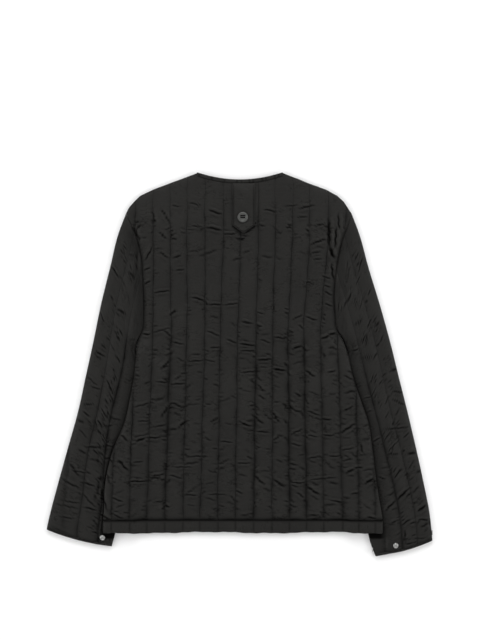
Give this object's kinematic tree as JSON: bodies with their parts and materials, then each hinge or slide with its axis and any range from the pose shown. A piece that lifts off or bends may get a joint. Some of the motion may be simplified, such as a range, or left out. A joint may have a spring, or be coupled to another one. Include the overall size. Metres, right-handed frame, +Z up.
{
  "type": "quilted jacket",
  "caption": "Collarless jacket in vertical channel quilting, laid flat on its front with the back up and the sleeves tucked under its sides; a buttoned tab hangs from the back neck.",
  "frame": {"origin": "centre of the jacket's outline, on the surface that it lies on", "axes": "+Z up out of the back, +Y towards the neck, +X towards the wearer's right sleeve"},
  "size_m": [0.7318, 0.7267, 0.0219],
  "materials": {
    "quilted_nylon": "black nylon with a soft sheen",
    "plain_nylon": "black nylon with a soft sheen",
    "thread": "matte black thread",
    "button_plastic": "dull grey",
    "snap_steel": "satin"
  },
  "bodies": {
    "root": {"back": "quilted_nylon", "front_left": "quilted_nylon", "front_right": "quilted_nylon", "sleeve_left": "quilted_nylon", "sleeve_right": "quilted_nylon", "hem_band": "plain_nylon", "neck_binding_back": "plain_nylon", "neck_binding_front_left": "plain_nylon", "neck_binding_front_right": "plain_nylon", "cuff_binding_left": "plain_nylon", "cuff_binding_right": "plain_nylon", "neck_tab": "plain_nylon", "bartack": "thread", "button": "button_plastic", "cuff_snap_left": "snap_steel", "cuff_snap_right": "snap_steel", "cuff_snap_right_outer": "snap_steel", "cuff_snap_right_inner": "snap_steel"}
  },
  "joints": []
}
